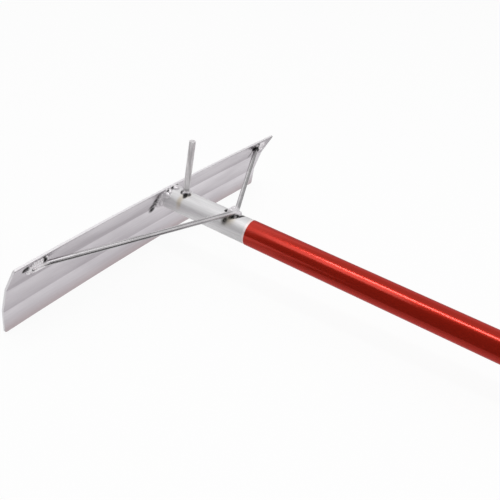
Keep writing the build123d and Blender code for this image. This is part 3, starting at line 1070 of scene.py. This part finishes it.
class PLACER_OT_brace(bpy.types.Operator):
    """Bend the brace rod into a V and hammer its two feet flat"""

    bl_idname = "placer.brace"
    bl_label = "Brace"

    rod_sides = 20
    point_steps = 14
    leg_steps = 12
    dent_start = 0.2  # share of a foot's length over which the dents get their depth
    middle_slack = 1e-6  # how near to the middle a face counts as on it
    join_slack = 1e-5

    def leg(self, scene, seat):
        """Half of the rod, from the top of its point to the bend of the left foot."""
        brace = scene.placer_brace
        radius = brace.diameter / 2
        bend = seat @ Vector((0, 0, radius))
        top = Vector((0, brace.reach, scene.placer_tube.diameter / 2 + radius + brace.seat_gap))
        depth = top - Vector((0, bend.y, bend.z))
        inward = depth.normalized()
        centre_depth = depth.length - brace.point_radius
        to_centre = hypot(bend.x, centre_depth)
        slope = atan2(centre_depth, bend.x) + asin(brace.point_radius / to_centre)
        run = sqrt(to_centre**2 - brace.point_radius**2)
        down_leg = ALONG_BLADE * cos(slope) - inward * sin(slope)
        rod = new(
            bpy.ops.mesh.primitive_circle_add,
            vertices=self.rod_sides,
            radius=radius,
            fill_type="NGON",
            location=top,
            rotation=(0, pi / 2, 0),
        )
        apply_place(rod)
        edit_all(rod)
        centre = top - inward * brace.point_radius
        spin(-slope, centre, ALONG_BLADE.cross(inward), self.point_steps)
        stretch = run - brace.diameter
        for _ in range(self.leg_steps):
            extrude(down_leg * (stretch / self.leg_steps))
        extrude(down_leg * brace.diameter)
        return rod, bend, down_leg

    def foot(self, brace, seat, bend, down_leg):
        """Draw the foot out of the rod's end, ring by ring."""
        to_tip = seat.to_3x3() @ Vector((1, 0, 0))
        axis = down_leg.cross(to_tip).normalized()
        swing = down_leg.angle(to_tip)
        turn_face(swing / 2, bend, axis)
        spot = bend
        width = height = brace.diameter / 2
        for number, (along, wide, high, rise) in enumerate(FOOT_RINGS):
            centre = seat @ Vector((along * brace.foot_length, 0, rise * brace.foot_rise))
            extrude(centre - spot)
            if number == 0:
                turn_face(swing / 2, centre, axis)
            new_width, new_height = wide * brace.foot_width / 2, high * brace.foot_half_height
            stretch_face((1, new_width / width, new_height / height), centre, seat)
            spot, width, height = centre, new_width, new_height

    def mirror(self, rod):
        """Open the rod at its middle and join it to its mirror image."""
        select(rod, "FACE", lambda face: abs(face.calc_center_median().x) < self.middle_slack)
        bpy.ops.mesh.delete(type="ONLY_FACE")
        deselect()
        apply_modifier(
            rod, "MIRROR", use_axis=(True, False, False), use_clip=True, merge_threshold=self.join_slack
        )
        face_outwards(rod)
        apply_modifier(rod, "SUBSURF", levels=2, render_levels=2)

    def dent(self, brace, seat, rod):
        """Leave the hammer's dents in the feet."""
        bend = seat.translation.x
        feet = rod.vertex_groups.new(name="feet")
        for vertex in rod.data.vertices:
            past_bend = (abs(vertex.co.x) - bend) / (self.dent_start * brace.foot_length)
            feet.add([vertex.index], min(max(past_bend, 0), 1), "REPLACE")
        make_uneven(rod, "dents", brace.dent_size, brace.dent, vertex_group=feet.name)
        rod.vertex_groups.clear()

    def execute(self, context):
        scene = context.scene
        brace = scene.placer_brace
        seat = foot_seat(scene, LEFT)
        rod, bend, down_leg = self.leg(scene, seat)
        self.foot(brace, seat, bend, down_leg)
        self.mirror(rod)
        make_uneven(rod, "hammering", brace.wave_size, brace.wave)
        self.dent(brace, seat, rod)
        gap = Matrix.Translation((0, 0, scene.placer_blade.face_gap))
        for side in (LEFT, RIGHT):
            take_out(rod, block_behind(foot_seat(scene, side) @ gap))
        face_outwards(rod)
        smooth_shade(rod, ROD_CREASE)
        hand_in(scene, rod, "brace_rod", rod_finish(scene))
        return {"FINISHED"}


class PLACER_OT_tube_weld(bpy.types.Operator):
    """Lay the bead round the mitred end of the tube"""

    bl_idname = "placer.tube_weld"
    bl_label = "Tube weld"

    drop_length = 0.85  # half length of a drop, as a share of the ripple

    def first_pass(self, scene):
        """Drops round the mitred end, up to the blade's top edge on both sides."""
        blade, welds = scene.placer_blade, scene.placer_welds
        radius = scene.placer_tube.diameter / 2
        up, out = band_up(blade.top_angle), band_out(blade.top_angle)
        tall = radius / cos(blade.top_angle)
        open_half = acos((top_edge(scene) - welds.edge_setback) / tall)
        span = 2 * pi - 2 * open_half
        count = round(span * (radius + tall) / 2 / welds.tube_ripple)
        half_sizes = (self.drop_length * welds.tube_ripple, welds.tube_bead, welds.tube_bead)
        drops = []
        for number in range(count + 1):
            turn = open_half + span * number / count
            spot = ALONG_BLADE * (radius * sin(turn)) + up * (tall * cos(turn))
            along = ALONG_BLADE * (radius * cos(turn)) - up * (tall * sin(turn))
            outward = out + Vector((sin(turn), 0, cos(turn)))
            drops.append((bead_frame(spot, along, outward), half_sizes))
        return drops

    def second_pass(self, scene):
        """Lumps on the tube beside those drops."""
        blade, welds = scene.placer_blade, scene.placer_welds
        radius = scene.placer_tube.diameter / 2
        lean_in = radius / cos(blade.top_angle) * sin(blade.top_angle)
        span = LUMPS_END - LUMPS_START
        count = round(span * radius / welds.lump_pitch)
        round_tube, along_tube, out_of_tube = LUMP_SHAPE
        drops = []
        for number in range(count + 1):
            turn = LUMPS_START + span * number / count
            uneven = 1 + LUMP_SWELL * sin(LUMP_BEAT * number)
            along = lean_in * cos(turn) + welds.lump_setback * uneven
            lump = welds.lump * uneven
            half_sizes = (round_tube * welds.lump_pitch, along_tube * lump, out_of_tube * lump)
            drops.append((on_tube(scene, along, turn), half_sizes))
        return drops

    def execute(self, context):
        scene = context.scene
        gap = Matrix.Translation((0, 0, scene.placer_blade.face_gap))
        face = on_top_band(scene, 0, top_edge(scene)) @ gap
        weld_on_tube(scene, "tube_weld", self.first_pass(scene) + self.second_pass(scene), face)
        return {"FINISHED"}


class PLACER_OT_hook_weld(bpy.types.Operator):
    """Lay the bead round the foot of the hook rod"""

    bl_idname = "placer.hook_weld"
    bl_label = "Hook weld"

    drop_length = 0.95  # half length of a drop, as a share of the ripple

    def execute(self, context):
        scene = context.scene
        tube, welds = scene.placer_tube, scene.placer_welds
        radius = tube.hook_diameter / 2
        count = round(2 * pi * (radius + welds.hook_bead / 2) / welds.ripple)
        half_sizes = (self.drop_length * welds.ripple, welds.hook_bead, welds.hook_bead)
        drops = []
        for number in range(count):
            turn = 2 * pi * number / count
            across = radius * cos(turn)
            rise = sqrt((tube.diameter / 2) ** 2 - across**2)
            spot = Vector((across, tube.hook_setback + radius * sin(turn), rise))
            along = Vector((-sin(turn), cos(turn), 0))
            outward = Vector((cos(turn), sin(turn), 1))
            drops.append((bead_frame(spot, along, outward), half_sizes))
        weld_on_tube(scene, "hook_weld", drops)
        return {"FINISHED"}


class PLACER_OT_brace_welds(bpy.types.Operator):
    """Lay the two beads that hold the point of the brace on the tube"""

    bl_idname = "placer.brace_welds"
    bl_label = "Brace welds"

    drop_length = 0.8  # half length of a drop, as a share of the bead's radius

    def run(self, scene, node, middle, length, radius, outward):
        """One straight bead across the tube."""
        half = ALONG_BLADE * (length / 2)
        half_sizes = (self.drop_length * radius, radius, radius)
        weld_on_tube(scene, node, straight_run(scene, middle - half, middle + half, outward, half_sizes))

    def execute(self, context):
        scene = context.scene
        brace, welds = scene.placer_brace, scene.placer_welds
        tube_radius = scene.placer_tube.diameter / 2
        rod_radius = brace.diameter / 2
        inner = Vector((0, brace.reach - rod_radius - welds.inner_setback, tube_radius + welds.inner_rise))
        outer = Vector((0, brace.reach + rod_radius, tube_radius))
        backward, forward = Vector((0, -1, 1)), Vector((0, 1, 1))
        self.run(scene, "brace_inner_weld", inner, welds.inner_length, welds.inner_bead, backward)
        self.run(scene, "brace_outer_weld", outer, welds.outer_length, welds.outer_bead, forward)
        return {"FINISHED"}


class PLACER_OT_foot_welds(bpy.types.Operator):
    """Lay the six beads that hold the feet of the brace on the blade"""

    bl_idname = "placer.foot_welds"
    bl_label = "Foot welds"

    drop_length = 0.75  # half length of a drop, as a share of the bead's radius

    def run(self, scene, start, way, outward, radius, half_spread):
        """One straight bead on a seat."""
        half_sizes = (self.drop_length * radius, half_spread, radius)
        bead = lay_bead(scene, straight_run(scene, start, start + way, outward, half_sizes))
        take_out(bead, block_behind(Matrix.Translation((0, 0, scene.placer_blade.face_gap))))
        smooth_shade(bead, BEAD_CREASE)
        return bead

    def execute(self, context):
        scene = context.scene
        brace, welds = scene.placer_brace, scene.placer_welds
        length, half_width = brace.foot_length, brace.foot_width / 2
        tip, side = welds.tip_bead, welds.side_bead
        spread = (welds.upper_spread + side) / 2
        across, along = Vector((0, brace.foot_width, 0)), Vector((length - side, 0, 0))
        tip_start = Vector((length, -half_width, 0))
        upper_start = Vector((0, side - half_width - spread, 0))
        lower_start = Vector((0, half_width, 0))
        beads = {
            "tip": self.run(scene, tip_start, across, Vector((1, 0, 1)), tip, tip),
            "upper": self.run(scene, upper_start, along, Vector((0, 0, 1)), side, spread),
            "lower": self.run(scene, lower_start, along, Vector((0, 1, 1)), side, side),
        }
        other_way = Matrix.Translation(along) @ Matrix.Rotation(pi, 4, "Z")
        # painted light: the lighter copy of the weld metal
        finish = weld_finish(scene, "foot_bead_alloy", scene.placer_finish.foot_colour)
        for foot, foot_name in ((LEFT, "left"), (RIGHT, "right")):
            seat = foot_seat(scene, foot)
            for name, bead in beads.items():
                turned = foot == RIGHT and name != "tip"
                copy = copy_piece(bead, seat @ other_way if turned else seat)
                hand_in(scene, copy, f"{foot_name}_foot_{name}_weld", finish)
        for bead in beads.values():
            bpy.data.objects.remove(bead)
        return {"FINISHED"}


class PLACER_OT_handle(bpy.types.Operator):
    """Finish the tube, sleeve, plug and hook rod of the frame"""

    bl_idname = "placer.handle"
    bl_label = "Handle"

    def execute(self, context):
        finishes = {
            "handle_tube": tube_finish,
            "handle_sleeve": sleeve_finish,
            "end_plug": plug_finish,
            "hook_rod": hook_finish,
        }
        for node, finish in finishes.items():
            mesh = frame["nodes"][node].data
            mesh.materials.clear()
            mesh.materials.append(finish(context.scene))
        return {"FINISHED"}


class PLACER_OT_stage(bpy.types.Operator):
    """Lay the floor, hang the lights and set the camera"""

    bl_idname = "placer.stage"
    bl_label = "Stage"

    def floor(self, scene):
        """The studio floor."""
        floor = new(bpy.ops.mesh.primitive_plane_add, size=scene.placer_stage.floor_size)
        floor.name = "studio_floor"
        floor.data.materials.append(floor_finish(scene))
        floor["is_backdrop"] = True

    def card(self, name, where, turn, sides, shade, change):
        """A card that only shows in gloss."""
        card = new(bpy.ops.mesh.primitive_plane_add, size=1, location=where, rotation=(0, turn, 0))
        card.name = name
        card.scale = (*sides, 1)
        apply_place(card)
        finish = Finish(name)
        if change:
            axis, start, end, end_shade = change
            shade = finish.remap(finish.coordinate(axis), start, end, shade, end_shade)
        card.data.materials.append(finish.surface(finish.glow(shade)))
        card.visible_camera = False
        card.visible_diffuse = False
        card.visible_shadow = False
        card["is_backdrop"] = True

    def lamp(self, stage, name, power_name, where, aim, sides, in_gloss):
        """A soft lamp."""
        lamp = new(bpy.ops.object.light_add, type="AREA", location=where)
        lamp.name = lamp.data.name = name
        lamp.data.shape = "RECTANGLE"
        lamp.data.size, lamp.data.size_y = sides
        lamp.data.energy = getattr(stage, power_name)
        lamp.rotation_euler = (Vector(aim) - Vector(where)).to_track_quat("-Z", "Y").to_euler()
        lamp.visible_camera = False
        lamp.visible_glossy = in_gloss
        return lamp

    def keep_off(self, lamp, piece):
        """Keep a lamp's light off one piece."""
        kept_off = bpy.data.collections.new(f"{lamp.name}_kept_off")
        kept_off.objects.link(bpy.data.objects[piece])
        kept_off.collection_objects[0].light_linking.link_state = "EXCLUDE"
        lamp.light_linking.receiver_collection = kept_off

    def walls(self, scene):
        """Even light from the studio's walls, which show white."""
        scene.world = bpy.data.worlds.new("studio")
        scene.world.use_nodes = True
        nodes = Nodes(scene.world.node_tree)
        ray = nodes.add("ShaderNodeLightPath")
        seen = nodes.math("MAXIMUM", *[ray.outputs[kind] for kind in SEEN_RAYS])
        inputs = {"Value": seen, "To Min": scene.placer_stage.fill, "To Max": 1.0}
        strength = nodes.add("ShaderNodeMapRange", inputs).outputs[0]
        glow = nodes.add("ShaderNodeBackground", {"Color": WHITE, "Strength": strength})
        nodes.add("ShaderNodeOutputWorld", {"Surface": glow.outputs[0]})

    def camera(self, scene):
        """The camera of the photograph."""
        stage = scene.placer_stage
        camera = new(bpy.ops.object.camera_add, location=stage.camera_place)
        camera.name = "camera"
        camera.data.sensor_width = SENSOR_WIDTH
        camera.data.lens = stage.camera_lens
        camera.data.clip_start = CLIP_START
        look = Vector(stage.camera_aim) - Vector(stage.camera_place)
        level = look.to_track_quat("-Z", "Y").to_matrix()
        camera.rotation_euler = (level @ Matrix.Rotation(stage.camera_roll, 3, "Z")).to_euler()
        scene.camera = camera

    def execute(self, context):
        scene = context.scene
        self.floor(scene)
        for card in CARDS:
            self.card(*card)
        self.walls(scene)
        lamps = [self.lamp(scene.placer_stage, *lamp) for lamp in LAMPS]
        self.keep_off(lamps[-1], "brace_rod_dressed")
        self.camera(scene)
        scene.view_settings.view_transform = "Standard"
        deselect()
        return {"FINISHED"}


class PLACER_PT_panel(bpy.types.Panel):
    """Lists the pieces and their sizes."""

    bl_idname = "PLACER_PT_panel"
    bl_label = "Concrete placer"
    bl_space_type = "VIEW_3D"
    bl_region_type = "UI"
    bl_category = "Placer"

    def draw(self, context):
        for operator in OPERATORS:
            self.layout.operator(operator.bl_idname)
        for group in SETTINGS:
            box = self.layout.box()
            box.label(text=group.removeprefix("placer_").capitalize())
            settings = getattr(context.scene, group)
            for name in settings.bl_rna.properties.keys():
                if name not in ("rna_type", "name"):
                    box.prop(settings, name)


SETTINGS = {
    "placer_blade": PlacerBlade,
    "placer_tube": PlacerTube,
    "placer_brace": PlacerBrace,
    "placer_welds": PlacerWelds,
    "placer_finish": PlacerFinish,
    "placer_stage": PlacerStage,
}
OPERATORS = (
    PLACER_OT_blade,
    PLACER_OT_brace,
    PLACER_OT_tube_weld,
    PLACER_OT_hook_weld,
    PLACER_OT_brace_welds,
    PLACER_OT_foot_welds,
    PLACER_OT_handle,
    PLACER_OT_stage,
)
CLASSES = (*SETTINGS.values(), *OPERATORS, PLACER_PT_panel)


def register():
    """Add the classes and their settings to Blender."""
    for added in CLASSES:
        bpy.utils.register_class(added)
    for name, group in SETTINGS.items():
        setattr(bpy.types.Scene, name, PointerProperty(type=group))


def unregister():
    """Take the settings and the classes out again."""
    for name in SETTINGS:
        delattr(bpy.types.Scene, name)
    for added in reversed(CLASSES):
        bpy.utils.unregister_class(added)


def main():
    """Build the placer."""
    register()
    bpy.ops.placer.blade()
    bpy.ops.placer.brace()
    bpy.ops.placer.tube_weld()
    bpy.ops.placer.hook_weld()
    bpy.ops.placer.brace_welds()
    bpy.ops.placer.foot_welds()
    bpy.ops.placer.handle()
    bpy.ops.placer.stage()
    boxes = {"cad": CAD_BOX, "visual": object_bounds()}
    {name: [list(low), list(high)] for name, (low, high) in boxes.items()}


if __name__ == "__main__":
    main()
